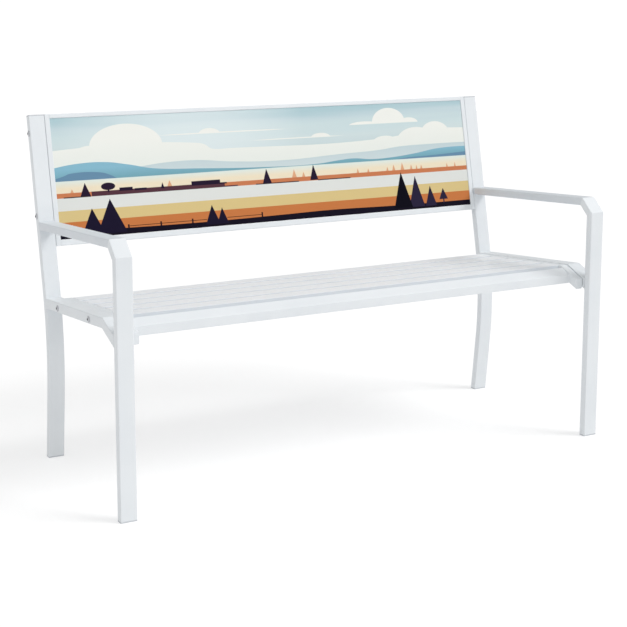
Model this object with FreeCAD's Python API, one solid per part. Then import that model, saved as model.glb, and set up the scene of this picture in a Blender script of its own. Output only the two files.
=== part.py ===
import FreeCAD, Part
import math
import os

# Garden bench: two side frames of flat steel tube, a bolted slatted seat panel and a bolted
# backrest with a printed sheet. Millimetres, +Z up, +X along the bench, the sitter faces -Y.
# The origin is on the floor, in the middle of the bench's length and depth.

# Side frames
BENCH_LENGTH = 1270.0
TUBE_WIDTH = 38.0
TUBE_DEPTH = 19.0
TUBE_WALL = 1.2
TUBE_CORNER = 2.5
LEG_HEIGHT = 566.5
ARM_CORNER_RUN = 37.0
ARM_CORNER_RISE = 33.5
ARM_SLOPE = 4.0

# Curved back leg, given by its front face
BACK_HEIGHT = 814.0
BACK_FOOT = 476.0
FOOT_SPLAY = 6.6
BACK_LEAN = 12.0
BEND_RADIUS = 800.0
BEND_HEIGHT = 247.0

# Seat
SEAT_BEND_Y = 86.0
SEAT_BEND_Z = 424.0
SEAT_SLOPE = 5.1
NOSE_SLOPE = 21.0
RAIL_HEIGHT = 24.0
RAIL_RISE = 1.5
BAR_WIDTH = 19.0
BAR_GAP = 2.0
BAR_FRONT = 25.0
BAR_BACK = 448.0
SLAT_COUNT = 5
SLAT_WIDTH = 58.0
SLAT_GAP = 15.0
SLAT_DEPTH = 15.0
SLAT_FIRST_Y = 95.0
SLAT_CORNER = 1.0
NOSE_RUN = 31.0
NOSE_FACE = 21.0
NOSE_DROP = 2.0
LIP_SLOPE = 27.0
BRACE_WIDTH = 30.0
BRACE_DEPTH = 12.0

# Backrest
RAIL_WIDTH_TOP = 10.0
RAIL_WIDTH_BOTTOM = 14.0
STILE_WIDTH = 12.0
STILE_GAP = 0.5
PICTURE_HEIGHT = 288.0
PANEL_RECESS = 2.0
PANEL_THICKNESS = 1.0
PANEL_CLEARANCE = 0.3
TAB_COUNT = 5
TAB_LENGTH = 24.0
TAB_REACH = 12.0
TAB_THICKNESS = 2.0
FRAME_CORNER = 1.5

# Plastic plugs in the open tube ends
PLUG_FLANGE = 3.0
PLUG_LENGTH = 22.0
PLUG_CLEARANCE = 0.3

# Fasteners
BOLT_RADIUS = 3.0
HOLE_RADIUS = 3.4
HEAD_RADIUS = 6.0
HEAD_HEIGHT = 2.8
SOCKET_WIDTH = 5.0
SOCKET_DEPTH = 2.0
WASHER_RADIUS = 7.5
WASHER_THICKNESS = 0.8
INSERT_RADIUS = 4.5
INSERT_CLEARANCE = 0.05
SEAT_BOLT_Y = (170.0, 380.0)
BACK_BOLT_Z = (579.0, 770.0)

HALF_LENGTH = BENCH_LENGTH / 2
FRAME_INNER_X = HALF_LENGTH - TUBE_WIDTH
BAR_OUTER_X = FRAME_INNER_X - BAR_GAP
BAR_INNER_X = BAR_OUTER_X - BAR_WIDTH
STILE_OUTER_X = FRAME_INNER_X - STILE_GAP
STILE_INNER_X = STILE_OUTER_X - STILE_WIDTH
LEAN = math.radians(BACK_LEAN)
SPLAY = math.radians(FOOT_SPLAY)
SIDES = {"left": -1, "right": 1}

os.makedirs("parts", exist_ok=True)


def save(name, shape):
    """Write one sub-part to its own STEP file."""
    if not shape.isValid():
        raise ValueError(name + " is not a valid shape")
    shape.exportStep("parts/" + name + ".step")


def heading(degrees):
    """Unit step in (y, z) for an angle above the +Y direction."""
    angle = math.radians(degrees)
    return (math.cos(angle), math.sin(angle))


def step(point, along, distance):
    """The (y, z) point at a distance from another along a unit step."""
    return (point[0] + along[0] * distance, point[1] + along[1] * distance)


def crossing(point_a, along_a, point_b, along_b):
    """Where two lines in the (y, z) plane cross."""
    gap_y = point_b[0] - point_a[0]
    gap_z = point_b[1] - point_a[1]
    turn = along_a[0] * along_b[1] - along_a[1] * along_b[0]
    distance = (gap_y * along_b[1] - gap_z * along_b[0]) / turn
    return step(point_a, along_a, distance)


def unit(start, end):
    """Unit step in (y, z) from one point to another."""
    run = end[0] - start[0]
    rise = end[1] - start[1]
    length = math.hypot(run, rise)
    return (run / length, rise / length)


def inset(path, distance):
    """The path moved by a distance to the right of its travel, with mitred corners."""
    lines = []
    for start, end in zip(path, path[1:]):
        along = unit(start, end)
        right = (along[1], -along[0])
        lines.append((step(start, right, distance), step(end, right, distance), along))
    corners = [crossing(a[0], a[2], b[0], b[2]) for a, b in zip(lines, lines[1:])]
    return [lines[0][0]] + corners + [lines[-1][1]]


# The curved back leg, from its front face
bend_low_z = BEND_HEIGHT - BEND_RADIUS * math.sin(SPLAY)
bend_y = BACK_FOOT - bend_low_z * math.tan(SPLAY) - BEND_RADIUS * (1 - math.cos(SPLAY))
bend_centre = (bend_y + BEND_RADIUS, BEND_HEIGHT)
bend_high_z = BEND_HEIGHT + BEND_RADIUS * math.sin(LEAN)
post_length = (BACK_HEIGHT - bend_high_z) / math.cos(LEAN)


def on_bend(depth, angle):
    """A point on the leg's bend, a depth behind its front face, at an angle above level."""
    radius = BEND_RADIUS - depth
    return (bend_centre[0] - radius * math.cos(angle), bend_centre[1] + radius * math.sin(angle))


def on_post(depth, height_along):
    """A point on the straight post, measured from the top of the bend."""
    return step(on_bend(depth, LEAN), (math.sin(LEAN), math.cos(LEAN)), height_along)


def post_height_at(depth, level):
    """How far up the post a depth line reaches a level."""
    return (level - on_bend(depth, LEAN)[1]) / math.cos(LEAN)


BENCH_DEPTH = on_post(TUBE_DEPTH, post_length)[0]
MIDDLE_Y = BENCH_DEPTH / 2


def vector(x, point):
    """A point of the model, from its x and its (y, z) measured from the bench's front."""
    return FreeCAD.Vector(x, point[0] - MIDDLE_Y, point[1])


def outline(points, x):
    """A closed face through (y, z) points, on the plane at x."""
    corners = [vector(x, point) for point in points]
    return Part.Face(Part.makePolygon(corners + corners[:1]))


def slab(points, x_low, x_high):
    """A solid with a (y, z) outline, running along X."""
    return outline(points, x_low).extrude(FreeCAD.Vector(x_high - x_low, 0, 0))


def rounded(solid, radius, shortest, along_x=False):
    """The solid with its long edges rounded: those along X, or those lying across it."""
    chosen = []
    for edge in solid.Edges:
        low, high = edge.BoundBox.XMin, edge.BoundBox.XMax
        runs_along = high - low > 0.5 * edge.Length
        if edge.Length > shortest and runs_along == along_x:
            chosen.append(edge)
    return solid.makeFillet(radius, chosen)


def between(path_a, path_b, index):
    """The outline of one straight member between two parallel paths."""
    return [path_a[index], path_a[index + 1], path_b[index + 1], path_b[index]]


def across(side, x_inner, x_outer):
    """The low and high x of a span on one side of the bench."""
    return sorted((side * x_inner, side * x_outer))


def frame_member(path, index, side, depth, width=TUBE_WIDTH, x_outer=HALF_LENGTH):
    """The envelope and the bore of one straight side-frame tube, mitred at its ends."""
    low, high = across(side, x_outer - width, x_outer)
    body = slab(between(path, inset(path, depth), index), low, high)
    near = inset(path, TUBE_WALL)
    far = inset(path, depth - TUBE_WALL)
    bore = slab(between(near, far, index), low + TUBE_WALL, high - TUBE_WALL)
    return rounded(body, TUBE_CORNER, 1.3 * depth), bore


def leg_outline(near, far, foot_level, top_length):
    """The curved leg's outline between two depths, from a floor level to a post length."""
    edges = []
    ends = {}
    for depth in (near, far):
        low = on_bend(depth, -SPLAY)
        foot = step(low, (math.tan(SPLAY), -1), low[1] - foot_level)
        middle = on_bend(depth, (LEAN - SPLAY) / 2)
        high = on_bend(depth, LEAN)
        top = on_post(depth, top_length)
        ends[depth] = (foot, top)
        edges.append(Part.makeLine(vector(0, foot), vector(0, low)))
        bend = Part.Arc(vector(0, low), vector(0, middle), vector(0, high))
        edges.append(bend.toShape())
        edges.append(Part.makeLine(vector(0, high), vector(0, top)))
    for end in (0, 1):
        edges.append(Part.makeLine(vector(0, ends[near][end]), vector(0, ends[far][end])))
    return Part.Face(Part.Wire(Part.__sortEdges__(edges)))


def leg_solid(near, far, foot_level, top_length, x_low, x_high):
    """A solid with the curved leg's outline, running from one x to another."""
    face = leg_outline(near, far, foot_level, top_length)
    face.translate(FreeCAD.Vector(x_low, 0, 0))
    return face.extrude(FreeCAD.Vector(x_high - x_low, 0, 0))


def level_box(z_low, z_high):
    """A box that holds everything between two heights."""
    size = 2 * BENCH_LENGTH
    corner = FreeCAD.Vector(-size / 2, -size / 2, z_low)
    return Part.makeBox(size, size, z_high - z_low, corner)


def upright_block(y_front, y_back, x_low, x_high):
    """A tall block that holds everything between two depths of the bench."""
    corners = [(y_front, 0), (y_front, BENCH_LENGTH), (y_back, BENCH_LENGTH), (y_back, 0)]
    return slab(corners, x_low - 1, x_high + 1)


def largest(shape):
    """The biggest solid of a shape, without the offcuts."""
    return max(shape.Solids, key=lambda solid: solid.Volume)


def rod(radius, side, x_inner, x_outer, point):
    """A round bar along X."""
    low, high = across(side, x_inner, x_outer)
    return Part.makeCylinder(radius, high - low, vector(low, point), FreeCAD.Vector(1, 0, 0))


# Lines that the side frame and the seat follow
arm_corner_low = (0.0, LEG_HEIGHT)
arm_corner_high = (ARM_CORNER_RUN, LEG_HEIGHT + ARM_CORNER_RISE)
arm_back = crossing(
    arm_corner_high, heading(-ARM_SLOPE), on_post(0, 0), (math.sin(LEAN), math.cos(LEAN))
)
arm_beyond = step(arm_back, heading(-ARM_SLOPE), TUBE_DEPTH)
arm_path = [(0.0, PLUG_FLANGE), arm_corner_low, arm_corner_high, arm_beyond]

seat_bend = (SEAT_BEND_Y, SEAT_BEND_Z)
seat_down = heading(-SEAT_SLOPE)
nose_up = heading(NOSE_SLOPE)
seat_path = [step(seat_bend, nose_up, -100.0), seat_bend, step(seat_bend, seat_down, 420.0)]
rail_path = inset(seat_path, -RAIL_RISE)


def seat_point(y, below=0.0):
    """A point on the seat's top plane at y, or a distance square below it."""
    top = crossing(seat_bend, seat_down, (y, 0.0), (0.0, 1.0))
    return step(top, (seat_down[1], -seat_down[0]), below)


seat_bolt_points = [seat_point(y, RAIL_HEIGHT / 2) for y in SEAT_BOLT_Y]
post_middle = TUBE_DEPTH / 2
back_bolt_points = [on_post(post_middle, post_height_at(post_middle, z)) for z in BACK_BOLT_Z]

picture_top = post_length - RAIL_WIDTH_TOP
picture_bottom = picture_top - PICTURE_HEIGHT
frame_bottom = picture_bottom - RAIL_WIDTH_BOTTOM


def on_back(depth_near, depth_far, low, high):
    """A rectangle in the backrest's own plane, as a (y, z) outline."""
    return [
        on_post(depth_near, low),
        on_post(depth_near, high),
        on_post(depth_far, high),
        on_post(depth_far, low),
    ]


def hollow_bar(outer, inner, x_low, x_high, corner, shortest, along_x):
    """A rectangular tube with square-cut ends and rounded long edges."""
    body = rounded(slab(outer, x_low, x_high), corner, shortest, along_x)
    margin = 0.0 if along_x else TUBE_WALL
    return body.cut(slab(inner, x_low + margin, x_high - margin))


def seat_strip(y_low, y_high, top, bottom):
    """The outline of a bar lying in the seat's plane."""
    along = unit(seat_point(y_low), seat_point(y_high))
    front = seat_point(y_low)
    length = (y_high - y_low) / along[0]
    down = (along[1], -along[0])
    back = step(front, along, length)
    return [step(front, down, top), step(back, down, top),
            step(back, down, bottom), step(front, down, bottom)]


# Side frames
for side_name, side in SIDES.items():
    low, high = across(side, FRAME_INNER_X, HALF_LENGTH)
    bolt_holes = [
        rod(HOLE_RADIUS, side, FRAME_INNER_X - 1, HALF_LENGTH + 1, point)
        for point in back_bolt_points + seat_bolt_points
    ]

    # Curved back leg, one bent tube from foot to post top
    cap_length = post_length - PLUG_FLANGE
    leg_envelope = leg_solid(0, TUBE_DEPTH, 0, post_length, low, high)
    leg = rounded(leg_solid(0, TUBE_DEPTH, 0, post_length, low, high), TUBE_CORNER, 60.0)
    bore_depth = TUBE_DEPTH - TUBE_WALL
    bore = leg_solid(TUBE_WALL, bore_depth, 0, post_length, low + TUBE_WALL, high - TUBE_WALL)
    top_end = slab(on_back(-5, TUBE_DEPTH + 5, cap_length, post_length + 5), low - 1, high + 1)
    foot_end = level_box(-5.0, PLUG_FLANGE)
    tube = leg.cut(bore).cut(foot_end).cut(top_end)
    for hole in bolt_holes:
        tube = tube.cut(hole)
    save(side_name + "_back_leg", tube)

    # Plugs in the back leg's two ends
    tongue_near = TUBE_WALL + PLUG_CLEARANCE
    tongue_far = bore_depth - PLUG_CLEARANCE
    tongue_low = low + tongue_near
    tongue_high = high - tongue_near
    tongue = leg_solid(tongue_near, tongue_far, 0, post_length, tongue_low, tongue_high)
    foot_plug = leg.common(foot_end).fuse(tongue.common(level_box(0.0, PLUG_LENGTH)))
    save(side_name + "_back_foot_plug", foot_plug.removeSplitter())
    cap_tongue = slab(
        on_back(tongue_near, tongue_far, post_length - PLUG_LENGTH, cap_length), tongue_low, tongue_high
    )
    cap = leg.common(top_end).fuse(cap_tongue)
    save(side_name + "_post_cap", cap.removeSplitter())

    # Front leg, mitred corner piece and armrest
    names = ("_front_leg", "_arm_corner", "_armrest")
    for index, name in enumerate(names):
        body, bore = frame_member(arm_path, index, side, TUBE_DEPTH)
        save(side_name + name, largest(body.cut(bore).cut(leg_envelope)))
    front_envelope = slab([(0, 0), (0, LEG_HEIGHT), (TUBE_DEPTH, LEG_HEIGHT), (TUBE_DEPTH, 0)], low, high)
    front_foot = [(0, 0), (0, PLUG_LENGTH), (TUBE_DEPTH, PLUG_LENGTH), (TUBE_DEPTH, 0)]
    flange = rounded(slab(front_foot, low, high), TUBE_CORNER, 21.0).common(foot_end)
    front_tongue = slab(
        [(tongue_near, 0), (tongue_near, PLUG_LENGTH), (tongue_far, PLUG_LENGTH), (tongue_far, 0)],
        tongue_low, tongue_high,
    )
    save(side_name + "_front_foot_plug", flange.fuse(front_tongue).removeSplitter())

    # Seat rail of the side frame: a sloped nose and a long rail, coped to the two legs. It stands
    # a little above the seat panel's own end bar.
    for index, name in enumerate(("_rail_nose", "_seat_rail")):
        body, bore = frame_member(rail_path, index, side, RAIL_HEIGHT)
        rail = largest(body.cut(bore).cut(leg_envelope).cut(front_envelope))
        if name == "_seat_rail":
            for hole in bolt_holes:
                rail = rail.cut(hole)
        save(side_name + name, rail)

    # End bar of the seat panel, following the same line, with a wall across each end
    bar_low, bar_high = across(side, BAR_INNER_X, BAR_OUTER_X)
    trim = upright_block(BAR_FRONT, BAR_BACK, bar_low, bar_high)
    hollow = upright_block(BAR_FRONT + TUBE_WALL, BAR_BACK - TUBE_WALL, bar_low, bar_high)
    bars = []
    for index in (0, 1):
        body, bore = frame_member(seat_path, index, side, RAIL_HEIGHT, BAR_WIDTH, BAR_OUTER_X)
        bars.append(body.common(trim).cut(bore.common(hollow)))
    bar = bars[0].fuse(bars[1]).removeSplitter()
    for point in seat_bolt_points:
        bar = bar.cut(rod(INSERT_RADIUS, side, BAR_OUTER_X - 3, BAR_OUTER_X + 1, point))
    save(side_name + "_seat_bar", bar)

    # Upright of the backrest frame
    stile_low, stile_high = across(side, STILE_INNER_X, STILE_OUTER_X)
    stile = hollow_bar(
        on_back(0, TUBE_DEPTH, frame_bottom, post_length),
        on_back(TUBE_WALL, TUBE_DEPTH - TUBE_WALL, frame_bottom, post_length),
        stile_low, stile_high, FRAME_CORNER, 60.0, False,
    )
    for point in back_bolt_points:
        stile = stile.cut(rod(INSERT_RADIUS, side, STILE_OUTER_X - 3, STILE_OUTER_X + 1, point))
    save(side_name + "_back_stile", stile)

# Seat slats, front nose and the brace under them
slat_bottom = SLAT_DEPTH
for number in range(SLAT_COUNT):
    front_y = SLAT_FIRST_Y + number * (SLAT_WIDTH + SLAT_GAP)
    back_y = front_y + SLAT_WIDTH
    slat = hollow_bar(
        seat_strip(front_y, back_y, 0, slat_bottom),
        seat_strip(front_y + TUBE_WALL, back_y - TUBE_WALL, TUBE_WALL, slat_bottom - TUBE_WALL),
        -BAR_INNER_X, BAR_INNER_X, SLAT_CORNER, 100.0, True,
    )
    save("seat_slat_" + str(number + 1), slat)

nose_back = step(step(seat_bend, nose_up, -6.0), (0.0, -1.0), NOSE_DROP)
nose_front = step(nose_back, heading(LIP_SLOPE), -NOSE_RUN)
nose_path = [
    nose_back,
    nose_front,
    step(nose_front, (0.0, -1.0), NOSE_FACE),
    step(nose_back, (0.0, -1.0), NOSE_FACE + 3.0),
]
nose_inner = [
    (nose_back[0] - TUBE_WALL, nose_back[1] - 1.8),
    (nose_front[0] + TUBE_WALL, nose_front[1] - TUBE_WALL),
    (nose_front[0] + TUBE_WALL, nose_front[1] - NOSE_FACE + 1.8),
    (nose_back[0] - TUBE_WALL, nose_back[1] - NOSE_FACE - 1.2),
]
nose = hollow_bar(nose_path, nose_inner, -BAR_INNER_X, BAR_INNER_X, SLAT_CORNER, 100.0, True)
save("seat_front_nose", nose)

brace_back = SLAT_FIRST_Y + SLAT_COUNT * (SLAT_WIDTH + SLAT_GAP) - SLAT_GAP
brace_bottom = slat_bottom + BRACE_DEPTH
brace = hollow_bar(
    seat_strip(SLAT_FIRST_Y, brace_back, slat_bottom, brace_bottom),
    seat_strip(SLAT_FIRST_Y, brace_back, slat_bottom + TUBE_WALL, brace_bottom - TUBE_WALL),
    -BRACE_WIDTH / 2, BRACE_WIDTH / 2, SLAT_CORNER, 60.0, False,
)
save("seat_centre_brace", brace)

# Backrest rails, printed sheet and the tabs that hold it
rail_spans = {
    "back_bottom_rail": (frame_bottom, picture_bottom),
    "back_top_rail": (picture_top, post_length),
}
for name, (rail_low, rail_high) in rail_spans.items():
    rail = hollow_bar(
        on_back(0, TUBE_DEPTH, rail_low, rail_high),
        on_back(TUBE_WALL, TUBE_DEPTH - TUBE_WALL, rail_low + TUBE_WALL, rail_high - TUBE_WALL),
        -STILE_INNER_X, STILE_INNER_X, FRAME_CORNER, 100.0, True,
    )
    save(name, rail)

panel_back = PANEL_RECESS + PANEL_THICKNESS
panel_edge_x = STILE_INNER_X - PANEL_CLEARANCE
panel = slab(
    on_back(PANEL_RECESS, panel_back, picture_bottom + PANEL_CLEARANCE, picture_top - PANEL_CLEARANCE),
    -panel_edge_x, panel_edge_x,
)
save("printed_back_panel", panel)

tabs = []
tab_pitch = 2 * panel_edge_x / TAB_COUNT
for column in range(TAB_COUNT):
    tab_x = -panel_edge_x + (column + 0.5) * tab_pitch
    for tab_low in (picture_bottom, picture_top - TAB_REACH):
        shape = on_back(panel_back, panel_back + TAB_THICKNESS, tab_low, tab_low + TAB_REACH)
        tabs.append(slab(shape, tab_x - TAB_LENGTH / 2, tab_x + TAB_LENGTH / 2))
save("panel_tabs", Part.makeCompound(tabs))


def socket_bolt(side, point, tip_x):
    """A button-head bolt whose head stands on its washer outside the frame."""
    seat_x = HALF_LENGTH + WASHER_THICKNESS
    shank = rod(BOLT_RADIUS, side, tip_x, seat_x + 1.0, point)
    dome_radius = (HEAD_RADIUS ** 2 + HEAD_HEIGHT ** 2) / (2 * HEAD_HEIGHT)
    centre = vector(side * (seat_x + HEAD_HEIGHT - dome_radius), point)
    head_bar = rod(HEAD_RADIUS, side, seat_x, seat_x + HEAD_HEIGHT + 1, point)
    head = Part.makeSphere(dome_radius, centre).common(head_bar)
    corner = SOCKET_WIDTH / math.sqrt(3)
    hexagon = []
    for turn in range(6):
        angle = math.radians(60 * turn)
        spot = (point[0] + corner * math.cos(angle), point[1] + corner * math.sin(angle))
        hexagon.append(spot)
    top_x = seat_x + HEAD_HEIGHT
    socket = slab(hexagon, *across(side, top_x - SOCKET_DEPTH, top_x + 1))
    return shank.fuse(head).cut(socket)


def ring(outer, inner, side, x_inner, x_outer, point):
    """A washer or threaded insert along X."""
    body = rod(outer, side, x_inner, x_outer, point)
    return body.cut(rod(inner, side, x_inner - 1, x_outer + 1, point))


bolt_sets = {
    "seat_bolts": (seat_bolt_points, BAR_OUTER_X, BAR_WIDTH),
    "backrest_bolts": (back_bolt_points, STILE_OUTER_X, STILE_WIDTH),
}
washers = []
inserts = []
insert_bore = BOLT_RADIUS + INSERT_CLEARANCE
for name, (points, wall_x, hollow) in bolt_sets.items():
    bolts = []
    insert_end = wall_x - hollow + TUBE_WALL + 1.0
    for side in SIDES.values():
        for point in points:
            bolts.append(socket_bolt(side, point, insert_end + 0.5))
            washer_face = HALF_LENGTH + WASHER_THICKNESS
            washers.append(ring(WASHER_RADIUS, HOLE_RADIUS, side, HALF_LENGTH, washer_face, point))
            inserts.append(ring(INSERT_RADIUS, insert_bore, side, insert_end, wall_x, point))
    save(name, Part.makeCompound(bolts))
save("bolt_washers", Part.makeCompound(washers))
save("threaded_inserts", Part.makeCompound(inserts))
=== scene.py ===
import logging
import math
from collections.abc import Mapping, Sequence
from dataclasses import dataclass
from enum import Enum
from functools import reduce
from typing import Any

import bpy
from mathutils import Euler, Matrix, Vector


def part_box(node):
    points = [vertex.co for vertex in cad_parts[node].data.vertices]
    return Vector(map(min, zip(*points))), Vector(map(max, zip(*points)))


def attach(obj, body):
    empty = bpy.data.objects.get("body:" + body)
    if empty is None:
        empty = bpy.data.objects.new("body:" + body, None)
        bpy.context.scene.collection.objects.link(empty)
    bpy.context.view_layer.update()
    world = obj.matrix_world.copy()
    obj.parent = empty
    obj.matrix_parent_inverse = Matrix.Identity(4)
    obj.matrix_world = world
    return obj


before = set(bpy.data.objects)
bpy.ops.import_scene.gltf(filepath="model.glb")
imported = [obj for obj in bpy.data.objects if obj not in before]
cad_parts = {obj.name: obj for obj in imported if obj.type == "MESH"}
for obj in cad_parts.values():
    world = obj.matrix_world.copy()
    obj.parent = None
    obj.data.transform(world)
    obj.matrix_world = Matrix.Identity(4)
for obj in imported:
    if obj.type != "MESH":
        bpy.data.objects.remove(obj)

LOG = logging.getLogger("garden_bench")
MM = 0.001
ROOT = "root"

Colour = tuple[float, float, float, float]
Point = tuple[float, float, float]


def paint(red: int, green: int, blue: int) -> Colour:
    """Turn a display colour into the linear colour that a shader wants.

    Args:
        red: Red as the eye sees it on a screen, 0 to 255.
        green: Green, 0 to 255.
        blue: Blue, 0 to 255.

    Returns:
        The linear colour with full alpha.
    """
    linear = []
    for part in (red, green, blue):
        share = part / 255
        linear.append(share / 12.92 if share <= 0.04045 else ((share + 0.055) / 1.055) ** 2.4)
    return (linear[0], linear[1], linear[2], 1.0)


def grey(level: float) -> Colour:
    """A neutral colour of a linear brightness."""
    return (level, level, level, 1.0)


class Side(Enum):
    """The bench's two ends, as seen from the front."""

    LEFT = "left"
    RIGHT = "right"

    @property
    def sign(self) -> int:
        """-1 on the left and 1 on the right."""
        return -1 if self is Side.LEFT else 1


class Wire:
    """A node's output that Python's operators turn into Math nodes."""

    def __init__(self, graph: "Graph", socket: bpy.types.NodeSocket) -> None:
        """Wrap a socket.

        Args:
            graph: The tree that the socket is in.
            socket: The output to read.
        """
        self.graph = graph
        self.socket = socket

    def math(self, operation: str, *values: "Wire | float", clamp: bool = False) -> "Wire":
        """Add one Math node.

        Args:
            operation: The node's operation.
            values: Its inputs in order, after this wire.
            clamp: Whether the result is held between 0 and 1.

        Returns:
            The result.
        """
        settings = {"operation": operation, "use_clamp": clamp}
        return self.graph.node("ShaderNodeMath", settings, dict(enumerate((self, *values))))

    def flipped(self, operation: str, value: float) -> "Wire":
        """Add one Math node whose first input is a plain number."""
        return self.graph.node("ShaderNodeMath", {"operation": operation}, {0: value, 1: self})

    def __add__(self, other: "Wire | float") -> "Wire":
        """This plus other."""
        return self.math("ADD", other)

    def __radd__(self, other: float) -> "Wire":
        """A number plus this."""
        return self.flipped("ADD", other)

    def __sub__(self, other: "Wire | float") -> "Wire":
        """This minus other."""
        return self.math("SUBTRACT", other)

    def __rsub__(self, other: float) -> "Wire":
        """A number minus this."""
        return self.flipped("SUBTRACT", other)

    def __mul__(self, other: "Wire | float") -> "Wire":
        """This times other."""
        return self.math("MULTIPLY", other)

    def __rmul__(self, other: float) -> "Wire":
        """A number times this."""
        return self.flipped("MULTIPLY", other)

    def __truediv__(self, other: "Wire | float") -> "Wire":
        """This over other."""
        return self.math("DIVIDE", other)

    def __abs__(self) -> "Wire":
        """The size without its sign."""
        return self.math("ABSOLUTE")

    def __pow__(self, other: float) -> "Wire":
        """This to a power."""
        return self.math("POWER", other)

    def most(self, other: "Wire | float") -> "Wire":
        """The larger of this and other."""
        return self.math("MAXIMUM", other)

    def least(self, other: "Wire | float") -> "Wire":
        """The smaller of this and other."""
        return self.math("MINIMUM", other)

    def held(self) -> "Wire":
        """This, held between 0 and 1."""
        return self.math("ADD", 0.0, clamp=True)


class Graph:
    """A node tree that is being written."""

    def __init__(self, tree: bpy.types.NodeTree) -> None:
        """Start on a tree."""
        self.tree = tree

    def node(
        self,
        kind: str,
        settings: Mapping[str, Any] | None = None,
        sockets: Mapping[str | int, Any] | None = None,
        output: str | int = 0,
    ) -> Wire:
        """Add any node.

        Args:
            kind: The node's type.
            settings: Its properties, set before its sockets. "stops" fills a colour ramp
                with (place, colour) pairs and "curve" a float curve with (x, y) points.
            sockets: Values or wires by input name or number.
            output: The output to return.

        Returns:
            The chosen output.
        """
        node = self.tree.nodes.new(kind)
        for name, value in (settings or {}).items():
            if name == "stops":
                self._fill_ramp(node.color_ramp, value)
            elif name == "curve":
                self._fill_curve(node.mapping, value)
            else:
                setattr(node, name, value)
        for key, value in (sockets or {}).items():
            if isinstance(value, Wire):
                self.tree.links.new(value.socket, node.inputs[key])
            else:
                node.inputs[key].default_value = value
        return Wire(self, node.outputs[output])

    @staticmethod
    def _fill_ramp(ramp: bpy.types.ColorRamp, stops: Sequence[tuple[float, Colour]]) -> None:
        """Give a colour ramp its stops."""
        while len(ramp.elements) < len(stops):
            ramp.elements.new(1.0)
        for element, (place, colour) in zip(ramp.elements, stops):
            element.position = place
            element.color = colour

    @staticmethod
    def _fill_curve(mapping: bpy.types.CurveMapping, points: Sequence[tuple[float, float]]) -> None:
        """Give a float curve its points."""
        curve = mapping.curves[0]
        while len(curve.points) < len(points):
            curve.points.new(0.5, 0.5)
        for spot, place in zip(curve.points, points):
            spot.location = place
        mapping.update()

    def parts(self, vector: Wire) -> tuple[Wire, Wire, Wire]:
        """Take a vector apart into its three components."""
        split = self.node("ShaderNodeSeparateXYZ", None, {0: vector}).socket.node
        return Wire(self, split.outputs[0]), Wire(self, split.outputs[1]), Wire(self, split.outputs[2])

    def mix(self, factor: Wire | float, under: Wire | Colour, over: Wire | Colour) -> Wire:
        """Lay one colour over another.

        Args:
            factor: How much of the upper colour shows.
            under: The lower colour.
            over: The upper colour.

        Returns:
            The mixed colour.
        """
        settings = {"data_type": "RGBA"}
        return self.node("ShaderNodeMix", settings, {0: factor, 6: under, 7: over}, output=2)

    def noise(self, place: Wire, grain: float, detail: float = 2.0) -> Wire:
        """Noise over an object.

        Args:
            place: The coordinates to read.
            grain: The size of one blot, in metres.
            detail: How many finer layers it has.

        Returns:
            A value around 0.5.
        """
        sockets = {"Vector": place, "Scale": 1 / grain, "Detail": detail}
        return self.node("ShaderNodeTexNoise", None, sockets)


class Finish:
    """What every finish shares: a material with one Principled surface."""

    @staticmethod
    def begin(name: str) -> tuple[bpy.types.Material, Graph, Wire]:
        """Start a material.

        Args:
            name: The material's name.

        Returns:
            The material, its graph, and the object's own coordinates in metres.
        """
        material = bpy.data.materials.new(name)
        material.use_nodes = True
        material.node_tree.nodes.clear()
        graph = Graph(material.node_tree)
        return material, graph, graph.node("ShaderNodeTexCoord", output="Object")

    @staticmethod
    def surface(graph: Graph, **sockets: Any) -> None:
        """Close a material with a Principled surface.

        Args:
            graph: The material's graph.
            sockets: The surface's values or wires, with _ for a space in their names.
        """
        named = {key.replace("_", " "): value for key, value in sockets.items()}
        shader = graph.node("ShaderNodeBsdfPrincipled", None, named)
        end = graph.tree.nodes.new("ShaderNodeOutputMaterial")
        graph.tree.links.new(shader.socket, end.inputs["Surface"])

    @staticmethod
    def bump(graph: Graph, height: Wire, depth: float) -> Wire:
        """Turn a height into a bent normal.

        Args:
            graph: The material's graph.
            height: The height from 0 to 1.
            depth: What a height of 1 measures, in metres.

        Returns:
            The normal.
        """
        sockets = {"Strength": 1.0, "Distance": depth, "Height": height}
        return graph.node("ShaderNodeBump", None, sockets)


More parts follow.
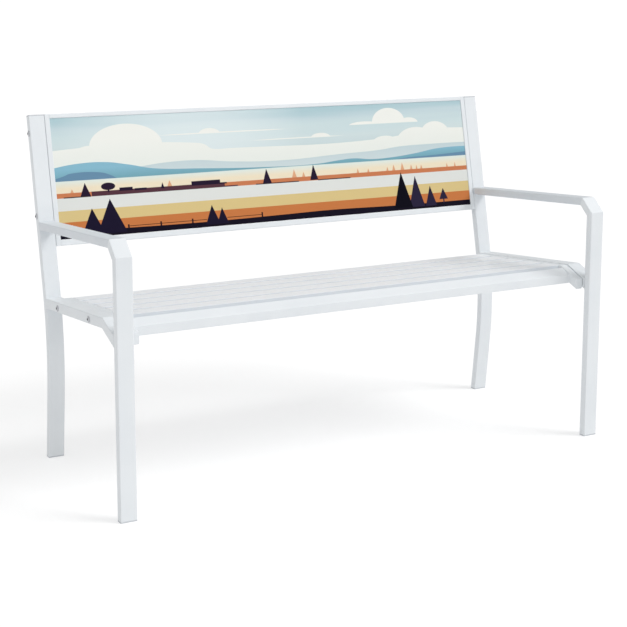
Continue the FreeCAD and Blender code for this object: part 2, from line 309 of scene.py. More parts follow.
@dataclass(frozen=True)
class PowderCoat(Finish):
    """Baked powder paint on steel: a low gloss over a fine orange peel.

    The edge colour, where there is one, is painted shade: it darkens faces that look along the bench's
    depth, so the gaps between slats read darker.
    """

    name: str = "white_powder_coat"
    colour: Colour = paint(231, 235, 238)
    shade: Colour = paint(222, 227, 231)
    # edge: the painted shade colour for faces that look along the bench's depth.
    edge: Colour | None = None
    gap_shade_start: float = 0.3
    gap_shade_gain: float = 2.5
    roughness: float = 0.42
    cloud_size: float = 110 * MM
    cloud_start: float = 0.42
    cloud_gain: float = 1.6
    cloud_roughness: float = 0.08
    speck_size: float = 0.5 * MM
    speck_gain: float = 0.2
    peel_size: float = 1.6 * MM
    peel_depth: float = 0.02 * MM
    peel_roughness: float = 0.10

    def material(self) -> bpy.types.Material:
        """Make the paint.

        Returns:
            The material.
        """
        material, graph, place = self.begin(self.name)
        cloud = graph.noise(place, self.cloud_size, 3.0)
        speck = graph.noise(place, self.speck_size, 1.0)
        peel = graph.noise(place, self.peel_size, 2.0)
        unevenness = (cloud - self.cloud_start) * self.cloud_gain + (speck - 0.5) * self.speck_gain
        coat = graph.mix(unevenness.held(), self.colour, self.shade)
        # Painted shade: faces that look along the bench's depth are darkened towards the edge colour,
        # darkening the gaps between slats.
        if self.edge:
            facing = graph.node("ShaderNodeNewGeometry", output="True Normal")
            depthwise = abs(graph.parts(facing)[1])
            coat = graph.mix(((depthwise - self.gap_shade_start) * self.gap_shade_gain).held(), coat, self.edge)
        gloss = (peel - 0.5) * self.peel_roughness + (cloud - 0.5) * self.cloud_roughness
        self.surface(
            graph,
            Base_Color=coat,
            Roughness=self.roughness + gloss,
            Normal=self.bump(graph, peel, self.peel_depth),
            IOR=1.5,
        )
        return material


@dataclass(frozen=True)
class PlugPlastic(Finish):
    """Moulded grey plastic of the feet and post caps, with a fine spark grain."""

    colour: Colour = paint(208, 212, 216)
    shade: Colour = paint(196, 200, 205)
    roughness: float = 0.62
    roughness_spread: float = 0.2
    grain_size: float = 0.6 * MM
    grain_depth: float = 0.03 * MM
    flow_size: float = 12 * MM

    def material(self) -> bpy.types.Material:
        """Make the plastic.

        Returns:
            The material.
        """
        material, graph, place = self.begin("plug_plastic")
        grain = graph.noise(place, self.grain_size, 3.0)
        flow = graph.noise(place, self.flow_size, 2.0)
        self.surface(
            graph,
            Base_Color=graph.mix(flow, self.colour, self.shade),
            Roughness=self.roughness + (grain - 0.5) * self.roughness_spread,
            Normal=self.bump(graph, grain, self.grain_depth),
            IOR=1.47,
        )
        return material


@dataclass(frozen=True)
class ZincPlate(Finish):
    """Zinc-plated screws and washers, a little dulled, with turning marks, and sockets darkened by painted
    shade.

    A socket is told from the rest of its bolt by how far from the bench's middle a face lies, and
    by how squarely the face looks along the bench: its floor does and its walls don't.
    """

    bright: Colour = paint(214, 216, 220)
    dull: Colour = paint(176, 178, 183)
    # Painted shade: the near-black colour laid on the sockets' walls and floors, standing in for the dark
    # of the recess.
    socket_shade: Colour = paint(24, 24, 27)
    socket_floor: float = 636.3 * MM
    socket_mouth: float = 637.0 * MM
    wall_squareness: float = 0.3
    floor_squareness: float = 0.97
    metallic: float = 0.35
    metallic_spread: float = 0.5
    roughness: float = 0.42
    roughness_spread: float = 0.25
    blot_size: float = 3.0 * MM
    mark_pitch: float = 0.35 * MM
    mark_distortion: float = 1.5
    mark_depth: float = 0.008 * MM

    # How far apart a wave texture's bands lie at a scale of 1, in metres.
    WAVE_PITCH = 0.3

    def material(self) -> bpy.types.Material:
        """Make the plating.

        Returns:
            The material.
        """
        material, graph, place = self.begin("zinc_plate")
        blot = graph.noise(place, self.blot_size, 4.0)
        facing = graph.node("ShaderNodeNewGeometry", output="True Normal")
        squareness = abs(graph.parts(facing)[0])
        outward = abs(graph.parts(place)[0])
        wall = squareness.math("LESS_THAN", self.wall_squareness)
        floor = squareness.math("GREATER_THAN", self.floor_squareness)
        floor = floor * outward.math("LESS_THAN", self.socket_mouth)
        socket = wall.most(floor) * outward.math("GREATER_THAN", self.socket_floor)
        plating = graph.mix(blot, self.bright, self.dull)
        scale = self.WAVE_PITCH / self.mark_pitch
        sockets = {"Vector": place, "Scale": scale, "Distortion": self.mark_distortion}
        marks = graph.node("ShaderNodeTexWave", {"bands_direction": "DIAGONAL"}, sockets, output=1)
        self.surface(
            graph,
            # Painted shade: the sockets are coloured near-black and lose their metal look.
            Base_Color=graph.mix(socket, plating, self.socket_shade),
            Metallic=(self.metallic + blot * self.metallic_spread) * (1.0 - socket),
            Roughness=self.roughness + (blot - 0.5) * self.roughness_spread,
            Normal=self.bump(graph, marks, self.mark_depth),
        )
        return material


@dataclass(frozen=True)
class Tree:
    """A pointed tree on the print: where it stands, how tall and how wide, in millimetres."""

    across: float
    top: float
    half_width: float
    foot: float


def together(*masks: Wire) -> Wire:
    """Several masks as one."""
    return reduce(Wire.most, masks)


@dataclass
class FlatPicture:
    """Flat shapes laid over one another on a sheet, measured in millimetres.

    Across runs from the sheet's middle and up from its lower edge. The colour is what has been
    laid so far, and a shape's edge fades over the edge width.
    """

    graph: Graph
    across: Wire
    up: Wire
    length: float
    height: float
    colour: Wire
    edge: float = 0.5

    def inside(self, distance: Wire) -> Wire:
        """A mask that is full where a distance in millimetres is above 0."""
        return (distance / self.edge + 0.5).held()

    def lay(self, colour: Wire | Colour, mask: Wire) -> None:
        """Lay a colour over the picture wherever the mask is full."""
        self.colour = self.graph.mix(mask, self.colour, colour)

    def under(self, line: Wire | float) -> Wire:
        """Where the sheet is lower than a line."""
        return self.inside(line - self.up)

    def over(self, line: float) -> Wire:
        """Where the sheet is higher than a line."""
        return 1.0 - self.under(line)

    def fade(self, top: float, depth: float) -> Wire:
        """A mask that grows from nothing at a height to full at that depth below it."""
        return ((top - self.up) / depth).held()

    def band(self, low: float, high: float) -> Wire:
        """Where the sheet is between two heights."""
        middle, half = (low + high) / 2, (high - low) / 2
        return self.inside(half - abs(self.up - middle))

    def box(self, left: float, right: float, low: float, high: float) -> Wire:
        """A plain upright box."""
        middle, half = (left + right) / 2, (right - left) / 2
        return self.inside(half - abs(self.across - middle)).least(self.band(low, high))

    def dome(self, across: float, up: float, half_width: float, height: float) -> Wire:
        """An ellipse.

        Args:
            across: Its centre along the sheet.
            up: Its centre up the sheet.
            half_width: Half its width.
            height: Half its height.

        Returns:
            The mask.
        """
        run = (self.across - across) / half_width
        rise = (self.up - up) / height
        reach = (run * run + rise * rise) ** 0.5
        return self.inside((1.0 - reach) * min(half_width, height))

    def ridge(self, *points: tuple[float, float]) -> Wire:
        """A smooth skyline over the whole sheet.

        Args:
            points: (across, up) points that the line runs through.

        Returns:
            The line's height all along the sheet.
        """
        curve = [(0.5 + across / self.length, up / self.height) for across, up in points]
        place = self.across / self.length + 0.5
        line = self.graph.node("ShaderNodeFloatCurve", {"curve": curve}, {"Value": place})
        return line * self.height

    def trees(self, *group: Tree) -> Wire:
        """Pointed trees as one mask.

        Args:
            group: The trees, all cut off level at the last one's foot.

        Returns:
            The mask.
        """
        reaches = []
        for tree in group:
            slope = tree.half_width / (tree.top - tree.foot)
            reaches.append((tree.top - self.up) * slope - abs(self.across - tree.across))
        return self.inside(together(*reaches).least(self.up - group[-1].foot))


@dataclass(frozen=True)
class LandscapePrint(Finish):
    """The backrest sheet: a flat country landscape printed on white-coated steel."""

    length: float
    height: float
    origin: Point
    lean: float
    thickness: float
    roughness: float = 0.55
    roughness_spread: float = 0.12
    grain_size: float = 0.8 * MM
    grain_depth: float = 0.006 * MM
    horizon: float = 0.6
    streak_scale: Point = (0.0016, 0.035, 0.0)
    streak_share: float = 0.55
    glow_middle: float = -240.0
    glow_half_width: float = 330.0
    glow_share: float = 0.62
    sapling_share: float = 0.75

    SKY_STOPS = (
        (0.00, paint(196, 212, 214)),
        (0.35, paint(207, 221, 222)),
        (0.60, paint(203, 220, 222)),
        (0.78, paint(196, 214, 219)),
        (1.00, paint(172, 201, 208)),
    )
    SKY_GLOW = paint(229, 238, 239)
    CLOUD = paint(239, 240, 234)
    CLOUD_LOW = paint(229, 234, 228)
    FAR_HILL = paint(195, 211, 215)
    FAR_HILL_LOW = paint(204, 217, 219)
    HILL = paint(136, 185, 204)
    HILL_LOW = paint(116, 166, 180)
    DEEP_HILL = paint(104, 141, 168)
    FIELD_TOP = paint(224, 232, 224)
    FIELD = paint(237, 224, 196)
    FIELD_SAPLING = paint(216, 140, 92)
    STRIP = paint(201, 124, 84)
    STRIP_DARK = paint(84, 52, 62)
    SHORE_LINE = paint(58, 46, 48)
    WATER = paint(223, 225, 221)
    MUSTARD = paint(217, 194, 136)
    BROWN_FIELD = paint(198, 120, 68)
    NEAR_GROUND = paint(16, 10, 28)
    NEAR_TREE = paint(23, 17, 42)
    BLACK_TREE = paint(4, 2, 18)
    SLATE_TREE = paint(40, 33, 58)
    MIDDLE_TREE = paint(36, 23, 46)
    WHITE = paint(231, 235, 238)

    def material(self) -> bpy.types.Material:
        """Make the print.

        Returns:
            The material.
        """
        material, graph, place = self.begin("landscape_print")
        settings = {"vector_type": "TEXTURE"}
        turn = Euler((math.pi / 2 - self.lean, 0.0, 0.0))
        sockets = {"Vector": place, "Location": self.origin, "Rotation": turn, "Scale": (MM, MM, MM)}
        flat = graph.node("ShaderNodeMapping", settings, sockets)
        across, up, lift = graph.parts(flat)
        length, height = self.length / MM, self.height / MM

        sky = self._sky(graph, flat, across, up / height)
        picture = FlatPicture(graph, across, up, length, height, sky)
        self._clouds(picture)
        self._hills(picture)
        self._fields(picture)
        self._middle_distance(picture)
        self._foreground(picture)

        grain = graph.noise(place, self.grain_size, 2.0)
        front = (lift + self.thickness / MM / 2).math("GREATER_THAN", 0.0)
        self.surface(
            graph,
            Base_Color=graph.mix(front, self.WHITE, picture.colour),
            Roughness=self.roughness + (grain - 0.5) * self.roughness_spread,
            Normal=self.bump(graph, grain, self.grain_depth),
            IOR=1.45,
            Specular_IOR_Level=0.08,
        )
        return material

    def _sky(self, graph: Graph, flat: Wire, across: Wire, share_up: Wire) -> Wire:
        """A pale sky with soft level streaks and a glow behind the left clouds.

        Args:
            graph: The material's graph.
            flat: The sheet's own coordinates, in millimetres.
            across: Millimetres along the sheet.
            share_up: The height as a share of the sheet's.

        Returns:
            The sky's colour.
        """
        stretched = graph.node("ShaderNodeMapping", None, {"Vector": flat, "Scale": self.streak_scale})
        streaks = graph.noise(stretched, 1.0, 1.5)
        rise = (share_up - self.horizon) / (1.0 - self.horizon)
        place = rise + (streaks - 0.5) * self.streak_share
        sky = graph.node("ShaderNodeValToRGB", {"stops": self.SKY_STOPS}, {"Fac": place})
        run = (across - self.glow_middle) / self.glow_half_width
        glow = (1.0 - run * run).held() * self.glow_share
        return graph.mix(glow, sky, self.SKY_GLOW)

    def _clouds(self, picture: FlatPicture) -> None:
        """A low bank of cloud with a pile at each end, one floating cloud and two thin ones."""
        bank = picture.ridge(
            (-585, 210), (-215, 211), (-192, 206), (-172, 194), (-120, 193),
            (280, 193), (420, 206), (460, 213), (585, 213),
        )
        left_pile = together(picture.dome(-399, 214, 94, 53), picture.dome(-490, 205, 38, 13))
        right_pile = together(
            picture.dome(332, 186, 38, 16),
            picture.dome(430, 182, 62, 39),
            picture.dome(492, 200, 46, 34),
        )
        floating = together(
            picture.dome(348, 238, 51, 38),
            picture.dome(272, 234, 46, 9),
            picture.dome(410, 234, 30, 14),
        ).least(picture.over(235.0))
        high_wisp = together(picture.dome(-138, 234, 165, 1.8), picture.dome(-177, 232, 29, 14))
        low_wisp = together(picture.dome(72, 209, 122, 1.6), picture.dome(138, 207, 29, 12))
        wisps = together(high_wisp.least(picture.over(232.8)), low_wisp.least(picture.over(207.8)))
        mask = together(picture.under(bank), left_pile, right_pile, floating, wisps)
        picture.lay(picture.graph.mix(picture.fade(230.0, 90.0), self.CLOUD, self.CLOUD_LOW), mask)

    def _hills(self, picture: FlatPicture) -> None:
        """Pale far hills, then a blue range with two darker folds."""
        graph = picture.graph
        far = picture.ridge(
            (-585, 150), (-400, 158), (-300, 167), (-220, 168), (-120, 159),
            (10, 154), (200, 161), (310, 165), (374, 171), (470, 173), (585, 173),
        )
        pale = graph.mix(picture.fade(175.0, 35.0), self.FAR_HILL, self.FAR_HILL_LOW)
        picture.lay(pale, picture.under(far))
        near = picture.ridge(
            (-585, 169), (-520, 177), (-460, 177), (-400, 168), (-330, 154),
            (-212, 147), (-50, 140), (120, 139), (190, 145), (228, 147), (285, 142),
            (340, 143), (420, 150), (496, 160), (585, 162),
        )
        blue = graph.mix(picture.fade(164.0, 26.0), self.HILL, self.HILL_LOW)
        picture.lay(blue, picture.under(near))
        fold = picture.ridge(
            (-585, 143), (-562, 149), (-546, 154), (-472, 153), (-448, 146), (-415, 132),
            (330, 130), (380, 139), (470, 142), (585, 147),
        )
        picture.lay(self.DEEP_HILL, picture.under(fold))

    def _fields(self, picture: FlatPicture) -> None:
        """The level bands from the foot of the hills to the brown field."""
        ripe = picture.graph.mix(picture.fade(135.0, 16.0), self.FIELD_TOP, self.FIELD)
        picture.lay(ripe, picture.under(136.5))
        saplings = (
            (-546, 117, 6), (-520, 113, 5), (-296, 123, 8), (50, 129, 8), (77, 121, 6),
            (239, 120, 5), (271, 118, 5), (330, 119, 5), (350, 124, 6), (377, 128, 7),
            (405, 121, 5), (422, 119, 4), (437, 119, 5), (520, 119, 4), (546, 120, 4),
        )
        group = [Tree(across, top, half_width, 104) for across, top, half_width in saplings]
        picture.lay(self.FIELD_SAPLING, picture.trees(*group) * self.sapling_share)
        picture.lay(self.STRIP, picture.under(108.0))
        wood = together(picture.box(-498, -148, 96, 108), picture.box(-150, -112, 96, 99.5))
        picture.lay(self.STRIP_DARK, wood)
        picture.lay(self.WATER, picture.under(96.5))
        ends = ((-568, -500), (-62, 62), (118, 215))
        shores = [picture.box(left, right, 96, 98.5) for left, right in ends]
        picture.lay(self.SHORE_LINE, together(*shores))
        picture.lay(self.MUSTARD, picture.under(66.0))
        picture.lay(self.BROWN_FIELD, picture.under(39.0))

    def _middle_distance(self, picture: FlatPicture) -> None:
        """A round tree, low barns and pointed trees along the far shore."""
        round_tree = together(picture.dome(-455, 118, 18, 9), picture.box(-457, -453, 104, 112))
        barns = together(
            picture.box(-427, -393, 105, 113),
            picture.box(-388, -357, 104, 109),
            picture.box(-238, -160, 105, 116),
            picture.box(-162, -142, 105, 108.5),
        )
        picture.lay(self.MIDDLE_TREE, together(round_tree, barns))
        tall = picture.trees(Tree(-513, 130, 14, 96), Tree(-29, 135, 13, 97), Tree(107, 138, 12, 98))
        picture.lay(self.MIDDLE_TREE, tall)
        picture.lay(self.MIDDLE_TREE, picture.trees(Tree(-315, 119, 5, 104)))

    def _foreground(self, picture: FlatPicture) -> None:
        """Dark ground with a post-and-rail fence and near trees."""
        ground = picture.ridge(
            (-585, 18), (-420, 15), (-200, 13), (0, 15), (150, 17), (350, 14), (585, 14),
        )
        tops = ((-412, 23), (-328, 24), (-244, 24), (-52, 26))
        posts = [picture.box(across - 2, across + 2, 8, top) for across, top in tops]
        rails = [picture.box(-412, -205, 18.2, 19.6), picture.box(-150, -52, 19.2, 20.6)]
        picture.lay(self.NEAR_GROUND, together(picture.under(ground), *posts, *rails))
        near = picture.trees(
            Tree(-454, 88, 37, 8), Tree(-501, 68, 28, 8), Tree(-189, 54, 20, 6), Tree(-162, 46, 16, 6)
        )
        picture.lay(self.NEAR_TREE, near)
        picture.lay(self.SLATE_TREE, picture.trees(Tree(413, 89, 25, 6), Tree(458, 60, 18, 6)))
        picture.lay(self.BLACK_TREE, picture.trees(Tree(370, 102, 29, 6)))
        small_tree = together(picture.trees(Tree(499, 51, 14, 21)), picture.box(497, 501, 10, 24))
        picture.lay(self.SLATE_TREE, small_tree)


class Grower:
    """A geometry node tree with named inputs, which grows one plain mesh from a guide."""

    def __init__(self, name: str) -> None:
        """Start a tree that takes a guide and a finish.

        Args:
            name: The tree's name.
        """
        self.tree = bpy.data.node_groups.new(name, "GeometryNodeTree")
        self.graph = Graph(self.tree)
        self.entry = self.tree.nodes.new("NodeGroupInput")
        self.identifiers: dict[str, str] = {}
        self.tree.interface.new_socket("Result", in_out="OUTPUT", socket_type="NodeSocketGeometry")
        self.guide = self.take("Guide", "NodeSocketGeometry")
        self.finish = self.take("Finish", "NodeSocketMaterial")

    def take(self, name: str, kind: str = "NodeSocketFloat") -> Wire:
        """Add a named input.

        Args:
            name: The input's name.
            kind: Its socket type.

        Returns:
            The input as a wire.
        """
        socket = self.tree.interface.new_socket(name, in_out="INPUT", socket_type=kind)
        self.identifiers[name] = socket.identifier
        return Wire(self.graph, self.entry.outputs[name])

    def close(self, shape: Wire) -> None:
        """End the tree with real geometry in the finish."""
        real = self.graph.node("GeometryNodeRealizeInstances", None, {"Geometry": shape})
        sockets = {"Geometry": real, "Material": self.finish}
        dressed = self.graph.node("GeometryNodeSetMaterial", None, sockets)
        exit_node = self.tree.nodes.new("NodeGroupOutput")
        self.tree.links.new(dressed.socket, exit_node.inputs["Result"])

    def grow(
        self,
        name: str,
        points: Sequence[Vector],
        edges: Sequence[tuple[int, int]],
        finish: bpy.types.Material,
        **sizes: float,
    ) -> bpy.types.Object:
        """Grow the tree's shape on a guide and keep it as a plain mesh.

        Args:
            name: The new piece's name.
            points: The guide's points.
            edges: The guide's lines, as pairs of point numbers.
            finish: The material it wears.
            sizes: The tree's other inputs, with _ for a space in their names.

        Returns:
            The piece, in place, riding on the bench.
        """
        guide_mesh = bpy.data.meshes.new(name + "_guide")
        guide_mesh.from_pydata([tuple(point) for point in points], list(edges), [])
        guide = bpy.data.objects.new(name + "_guide", guide_mesh)
        bpy.context.scene.collection.objects.link(guide)
        modifier = guide.modifiers.new("grow", "NODES")
        modifier.node_group = self.tree
        modifier[self.identifiers["Finish"]] = finish
        for key, value in sizes.items():
            modifier[self.identifiers[key.replace("_", " ")]] = value
        depsgraph = bpy.context.evaluated_depsgraph_get()
        mesh = bpy.data.meshes.new_from_object(guide.evaluated_get(depsgraph))
        mesh.name = name
        bpy.data.objects.remove(guide)
        bpy.data.meshes.remove(guide_mesh)
        piece = bpy.data.objects.new(name, mesh)
        bpy.context.scene.collection.objects.link(piece)
        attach(piece, ROOT)
        return piece


class WeldBead(Grower):
    """A rippled fillet of weld metal along each line of the guide, closed at both ends."""

    STEP = 0.45 * MM
    FACETS = 10
    RIPPLE = 0.10
    BLOT_SCALE = 160.0
    BLOT = 0.35
    END_SIZE = 0.35
    END_SLOPE = 30.0

    def __init__(self) -> None:
        """Write the tree."""
        super().__init__("weld_bead")
        radius = self.take("Radius")
        ripple = self.take("Ripple pitch")
        seed = self.take("Seed")
        graph = self.graph
        curve = graph.node("GeometryNodeMeshToCurve", None, {"Mesh": self.guide})
        sockets = {"Curve": curve, "Length": self.STEP}
        line = graph.node("GeometryNodeResampleCurve", {"mode": "LENGTH"}, sockets)
        along = graph.node("GeometryNodeSplineParameter", output="Length")
        wave = (along / ripple * math.tau).math("SINE") * self.RIPPLE
        place = graph.node("GeometryNodeInputPosition")
        sockets = {"Vector": place, "W": seed, "Scale": self.BLOT_SCALE}
        blot = graph.node("ShaderNodeTexNoise", {"noise_dimensions": "4D"}, sockets)
        share = graph.node("GeometryNodeSplineParameter", output="Factor")
        taper = ((0.5 - abs(share - 0.5)) * self.END_SLOPE + self.END_SIZE).least(1.0)
        size = radius * (1.0 + wave + (blot - 0.5) * self.BLOT) * taper
        shaped = graph.node("GeometryNodeSetCurveRadius", None, {"Curve": line, "Radius": size})
        sockets = {"Resolution": self.FACETS, "Radius": 1.0}
        ring = graph.node("GeometryNodeCurvePrimitiveCircle", None, sockets)
        sockets = {"Curve": shaped, "Profile Curve": ring, "Fill Caps": True}
        sweep = graph.node("GeometryNodeCurveToMesh", None, sockets)
        self.tree.links.new(size.socket, sweep.socket.node.inputs["Scale"])
        self.close(sweep)

    def weld(
        self,
        name: str,
        ends: Sequence[Vector],
        finish: bpy.types.Material,
        radius: float,
        pitch: float,
        seed: float,
    ) -> bpy.types.Object:
        """Lay a bead from each even point to the odd one after it.

        Args:
            name: The new piece's name.
            ends: The beads' ends, in pairs.
            finish: The material it wears.
            radius: The beads' radius.
            pitch: The distance between ripples.
            seed: What makes this piece's unevenness its own.

        Returns:
            The piece.
        """
        edges = [(start, start + 1) for start in range(0, len(ends), 2)]
        return self.grow(name, ends, edges, finish, Radius=radius, Ripple_pitch=pitch, Seed=seed)


class RivetHead(Grower):
    """A low domed head on each point of the guide."""

    SEGMENTS = 20
    RINGS = 10

    def __init__(self) -> None:
        """Write the tree."""
        super().__init__("rivet_head")
        radius = self.take("Radius")
        height = self.take("Height")
        tilt = self.take("Tilt")
        graph = self.graph
        points = graph.node("GeometryNodeMeshToPoints", None, {"Mesh": self.guide})
        sockets = {"Segments": self.SEGMENTS, "Rings": self.RINGS, "Radius": 1.0}
        ball = graph.node("GeometryNodeMeshUVSphere", None, sockets)
        size = graph.node("ShaderNodeCombineXYZ", None, {0: radius, 1: radius, 2: height})
        turn = graph.node("ShaderNodeCombineXYZ", None, {0: tilt})
        rotation = graph.node("FunctionNodeEulerToRotation", None, {"Euler": turn})
        sockets = {"Points": points, "Instance": ball, "Rotation": rotation, "Scale": size}
        self.close(graph.node("GeometryNodeInstanceOnPoints", None, sockets))


@dataclass
class Finishes:
    """The bench's materials, each made once."""

    coat: bpy.types.Material
    slat_coat: bpy.types.Material
    arm_coat: bpy.types.Material
    plastic: bpy.types.Material
    zinc: bpy.types.Material

    @classmethod
    def prepare(cls) -> "Finishes":
        """Make every material but the sheet's print.

        Returns:
            The finishes.
        """
        # Painted light and shade: the slats wear a lighter copy of the white coat for their lit tops, with
        # darker painted shade on their front and rear faces in the gaps.
        slat_coat = PowderCoat(
            "slat_powder_coat_painted_light_and_shade", paint(243, 245, 248), paint(237, 240, 243), edge=paint(223, 228, 233)
        )
        # Painted shade: the armrests wear a darker copy of the white coat, for the shade on their tops.
        arm_coat = PowderCoat("armrest_powder_coat_painted_shade", paint(219, 224, 229), paint(210, 216, 222))
        return cls(
            coat=PowderCoat().material(),
            slat_coat=slat_coat.material(),
            arm_coat=arm_coat.material(),
            plastic=PlugPlastic().material(),
            zinc=ZincPlate().material(),
        )

    def dress(self, material: bpy.types.Material, *nodes: str) -> None:
        """Give a finish to parts that come from the frame.

        Args:
            material: The finish.
            nodes: The parts' names.
        """
        for name in nodes:
            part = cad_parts[name]
            part.data.materials.clear()
            part.data.materials.append(material)
            LOG.info("%s wears %s", name, material.name)


def lowest_corner(node: str) -> Vector:
    """The lowest point of a part that comes from the frame.

    Args:
        node: The part's name.

    Returns:
        The point.
    """
    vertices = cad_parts[node].data.vertices
    return min((vertex.co for vertex in vertices), key=lambda co: co.z).copy()


@dataclass
class SideFrame:
    """One end of the bench: leg, armrest, curved back leg and seat rail."""

    side: Side
    finishes: Finishes
    bead_radius: float = 1.7 * MM
    bead_margin: float = 3.5 * MM
    ripple_pitch: float = 2.4 * MM

    TUBES = ("back_leg", "front_leg", "arm_corner", "rail_nose", "seat_rail")
    PLUGS = ("front_foot_plug", "back_foot_plug", "post_cap")

    def build(self, bead: WeldBead) -> None:
        """Dress the tubes and weld them together underneath.

        Args:
            bead: The recipe for a weld.
        """
        name = self.side.value
        self.finishes.dress(self.finishes.coat, *(f"{name}_{part}" for part in self.TUBES))
        # The armrests wear the darker copy of the coat, painted shade.
        self.finishes.dress(self.finishes.arm_coat, f"{name}_armrest")
        self.finishes.dress(self.finishes.plastic, *(f"{name}_{part}" for part in self.PLUGS))
        points: list[Vector] = []
        for joint in ("armrest", "rail_nose", "seat_rail"):
            low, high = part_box(f"{name}_{joint}")
            corner = lowest_corner(f"{name}_{joint}")
            for across in (low.x + self.bead_margin, high.x - self.bead_margin):
                points.append(Vector((across, corner.y, corner.z)))
        piece = bead.weld(
            f"{name}_frame_welds", points, self.finishes.coat,
            self.bead_radius, self.ripple_pitch, float(self.side.sign),
        )
        LOG.info("%s has %d faces", piece.name, len(piece.data.polygons))


@dataclass
class SeatPanel:
    """The bolted seat: two end bars, five slats, a front nose and a brace."""

    finishes: Finishes
    slat_count: int = 5
    slat_depth: float = 15 * MM
    fall: float = math.radians(5.1)
    bead_radius: float = 1.3 * MM
    bead_margin: float = 5 * MM
    bead_seed: float = 7.0
    ripple_pitch: float = 2.0 * MM

    def slats(self) -> list[str]:
        """The slats' names, from the front."""
        return [f"seat_slat_{number + 1}" for number in range(self.slat_count)]

    def build(self, bead: WeldBead) -> None:
        """Dress the panel and weld each slat to the end bars underneath.

        Args:
            bead: The recipe for a weld.
        """
        bars = [f"{side.value}_seat_bar" for side in Side]
        self.finishes.dress(self.finishes.coat, *bars, "seat_front_nose", "seat_centre_brace")
        # The slats wear the lighter copy of the coat, painted light, with painted shade on their front and
        # rear faces.
        self.finishes.dress(self.finishes.slat_coat, *self.slats())
        down = Vector((0.0, -math.sin(self.fall), -math.cos(self.fall))) * self.slat_depth
        points: list[Vector] = []
        for name in self.slats():
            low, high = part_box(name)
            front = Vector((0.0, low.y, high.z + down.z))
            back = Vector((0.0, high.y + down.y, low.z))
            along = (back - front).normalized() * self.bead_margin
            for end in (low.x, high.x):
                points.append(front + along + Vector((end, 0.0, 0.0)))
                points.append(back - along + Vector((end, 0.0, 0.0)))
        piece = bead.weld(
            "slat_welds", points, self.finishes.coat,
            self.bead_radius, self.ripple_pitch, self.bead_seed,
        )
        LOG.info("%s has %d faces", piece.name, len(piece.data.polygons))


@dataclass
class Backrest:
    """The bolted backrest: four frame members, the printed sheet, its tabs and rivets."""

    finishes: Finishes
    lean: float = math.radians(12.0)
    rail_depth: float = 19 * MM
    sheet_thickness: float = 1.0 * MM
    tab_columns: int = 5
    tab_length: float = 24 * MM
    tab_reach: float = 12 * MM
    tab_thickness: float = 2 * MM
    rivet_radius: float = 3.4 * MM
    rivet_height: float = 1.5 * MM
    bead_radius: float = 1.2 * MM
    bead_sink: float = 0.7 * MM
    bead_margin: float = 3.0 * MM
    bead_seed: float = 3.0
    ripple_pitch: float = 1.8 * MM

    def upward(self, distance: float) -> Vector:
        """A step up the leaning backrest."""
        return Vector((0.0, math.sin(self.lean), math.cos(self.lean))) * distance

    def rearward(self, distance: float) -> Vector:
        """A step square to the leaning backrest, away from the sitter."""
        return Vector((0.0, math.cos(self.lean), -math.sin(self.lean))) * distance

    def build(self, bead: WeldBead, rivet: RivetHead) -> None:
        """Dress the frame, print the sheet and fix it.

        Args:
            bead: The recipe for a weld.
            rivet: The recipe for a rivet head.
        """
        stiles = [f"{side.value}_back_stile" for side in Side]
        self.finishes.dress(self.finishes.coat, *stiles, "back_top_rail", "back_bottom_rail", "panel_tabs")
        self.finishes.dress(self.print_finish(), "printed_back_panel")
        self._rivet_tabs(rivet)
        self._weld_corners(bead)

    def print_finish(self) -> bpy.types.Material:
        """Make the sheet's print, laid on the sheet's own lower edge.

        Returns:
            The material.
        """
        low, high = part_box("printed_back_panel")
        front_edge = low.z + self.rearward(-self.sheet_thickness).z
        height = (high.z - front_edge) / math.cos(self.lean)
        finish = LandscapePrint(
            length=high.x - low.x,
            height=height,
            origin=(0.0, low.y, front_edge),
            lean=self.lean,
            thickness=self.sheet_thickness,
        )
        return finish.material()

    def _rivet_tabs(self, rivet: RivetHead) -> None:
        """Put a rivet in the middle of each tab's rear face."""
        low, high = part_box("panel_tabs")
        through = self.rearward(self.tab_thickness)
        half_reach = self.upward(self.tab_reach / 2)
        bottom_row = Vector((0.0, low.y + through.y, low.z)) + half_reach
        top_row = Vector((0.0, high.y, high.z + through.z)) - half_reach
        first = low.x + self.tab_length / 2
        pitch = (high.x - low.x - self.tab_length) / (self.tab_columns - 1)
        points = []
        for column in range(self.tab_columns):
            across = Vector((first + column * pitch, 0.0, 0.0))
            points.extend((bottom_row + across, top_row + across))
        piece = rivet.grow(
            "tab_rivets", points, [], self.finishes.zinc,
            Radius=self.rivet_radius, Height=self.rivet_height, Tilt=math.pi / 2 - self.lean,
        )
        LOG.info("%s has %d faces", piece.name, len(piece.data.polygons))

    def _weld_corners(self, bead: WeldBead) -> None:
        """Weld the two rails to the stiles on the rear face."""
        points: list[Vector] = []
        for name in ("back_bottom_rail", "back_top_rail"):
            low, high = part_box(name)
            tipped_depth = -self.rearward(self.rail_depth).z
            rise = self.upward((high.z - low.z - tipped_depth) / math.cos(self.lean))
            bottom = Vector((0.0, high.y - rise.y, low.z))
            margin = self.upward(self.bead_margin)
            for end in (low.x, high.x):
                across = Vector((end, 0.0, 0.0)) - self.rearward(self.bead_sink)
                points.extend((bottom + margin + across, bottom + rise - margin + across))
        piece = bead.weld(
            "backrest_welds", points, self.finishes.coat,
            self.bead_radius, self.ripple_pitch, self.bead_seed,
        )
        LOG.info("%s has %d faces", piece.name, len(piece.data.polygons))


@dataclass
class Fasteners:
    """The zinc-plated bolts, washers and inserts."""

    finishes: Finishes

    def build(self) -> None:
        """Dress the fasteners."""
        names = ("seat_bolts", "backrest_bolts", "bolt_washers", "threaded_inserts")
        self.finishes.dress(self.finishes.zinc, *names)


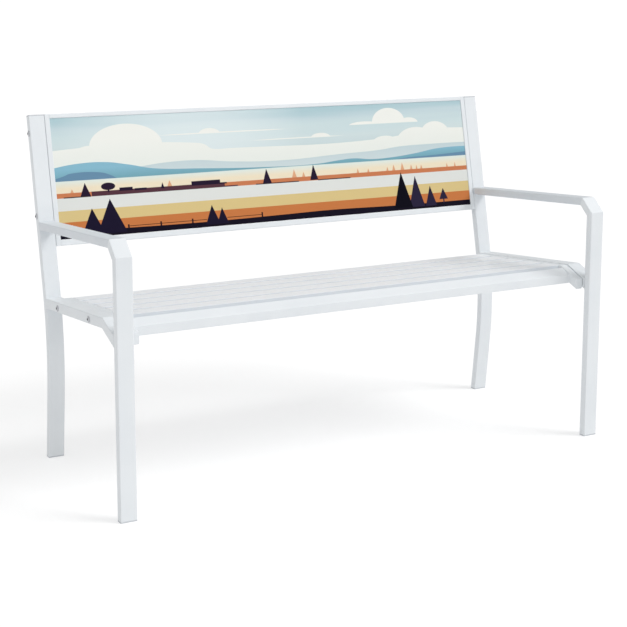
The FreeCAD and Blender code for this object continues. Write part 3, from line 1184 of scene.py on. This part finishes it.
@dataclass
class Studio:
    """A pale floor, soft light and the camera."""

    key_from: Point = (0.250, -0.200, 0.300)
    key_spread: float = math.radians(26.0)
    key_strength: float = 1.38
    floor_size: float = 600.0
    floor_drop: float = 0.3 * MM
    floor_colour: Colour = grey(0.60)
    floor_blot: Colour = grey(0.56)
    blot_size: float = 0.6
    blot_share: float = 0.06
    floor_glow: float = 0.30
    floor_show: float = 0.465
    sky_strength: float = 0.50
    sky_rise: float = 0.25
    sky_front: float = 0.12
    sky_left: float = 0.12
    backdrop: float = 1.02
    camera_place: Point = (-1.6272, -2.9518, 1.1131)
    camera_yaw: float = math.radians(28.551)
    camera_pitch: float = math.radians(9.387)
    camera_roll: float = math.radians(-0.10)
    lens: float = 81.04
    sensor: float = 36.0
    shift: float = -0.15
    farthest: float = 2000.0

    def build(self) -> None:
        """Set the stage."""
        self._floor()
        self._sky()
        self._key_light()
        self._camera()
        bpy.context.scene.view_settings.view_transform = "Standard"

    def _floor(self) -> None:
        """Lay the floor."""
        half = self.floor_size / 2
        corners = [(-half, -half), (half, -half), (half, half), (-half, half)]
        mesh = bpy.data.meshes.new("floor")
        mesh.from_pydata([(x, y, -self.floor_drop) for x, y in corners], [], [(0, 1, 2, 3)])
        floor = bpy.data.objects.new("floor", mesh)
        bpy.context.scene.collection.objects.link(floor)
        material, graph, place = Finish.begin("pale_floor")
        blot = graph.noise(place, self.blot_size, 2.0)
        seen = graph.node("ShaderNodeLightPath", output="Is Camera Ray")
        Finish.surface(
            graph,
            Base_Color=graph.mix(blot * self.blot_share, self.floor_colour, self.floor_blot),
            Roughness=0.9,
            Specular_IOR_Level=0.0,
            Emission_Color=graph.mix(seen, grey(self.floor_glow), grey(self.floor_show)),
            Emission_Strength=1.0,
        )
        mesh.materials.append(material)

    def _sky(self) -> None:
        """Light the room evenly, and show a white backdrop behind the floor's edge."""
        world = bpy.data.worlds.new("studio")
        bpy.context.scene.world = world
        world.use_nodes = True
        world.node_tree.nodes.clear()
        graph = Graph(world.node_tree)
        seen = graph.node("ShaderNodeLightPath", output="Is Camera Ray")
        towards = graph.node("ShaderNodeTexCoord", output="Generated")
        right, back, up = graph.parts(towards)
        room = self.sky_strength + up * self.sky_rise - back * self.sky_front - right * self.sky_left
        strength = seen * self.backdrop + (1.0 - seen) * room
        light = graph.node("ShaderNodeBackground", None, {"Color": grey(1.0), "Strength": strength})
        exit_node = world.node_tree.nodes.new("ShaderNodeOutputWorld")
        world.node_tree.links.new(light.socket, exit_node.inputs["Surface"])

    def _key_light(self) -> None:
        """Hang one far, wide light at the front right."""
        lamp = bpy.data.lights.new("key_light", "SUN")
        lamp.energy = self.key_strength
        lamp.angle = self.key_spread
        light = bpy.data.objects.new("key_light", lamp)
        light.rotation_euler = (-Vector(self.key_from)).to_track_quat("-Z", "Y").to_euler()
        bpy.context.scene.collection.objects.link(light)

    def _camera(self) -> None:
        """Stand the camera at the front left."""
        data = bpy.data.cameras.new("camera")
        data.lens = self.lens
        data.sensor_width = self.sensor
        data.shift_y = self.shift
        data.clip_end = self.farthest
        camera = bpy.data.objects.new("camera", data)
        camera.location = self.camera_place
        camera.rotation_euler = (math.pi / 2 - self.camera_pitch, self.camera_roll, -self.camera_yaw)
        bpy.context.scene.collection.objects.link(camera)
        bpy.context.scene.camera = camera


def main() -> None:
    """Build the bench's looks round the frame, then the studio."""
    logging.basicConfig(level=logging.INFO, format="%(name)s: %(message)s")
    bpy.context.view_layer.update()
    finishes = Finishes.prepare()
    bead = WeldBead()
    rivet = RivetHead()
    for side in Side:
        SideFrame(side, finishes).build(bead)
    SeatPanel(finishes).build(bead)
    Backrest(finishes).build(bead, rivet)
    Fasteners(finishes).build()
    Studio().build()


if __name__ == "__main__":
    main()
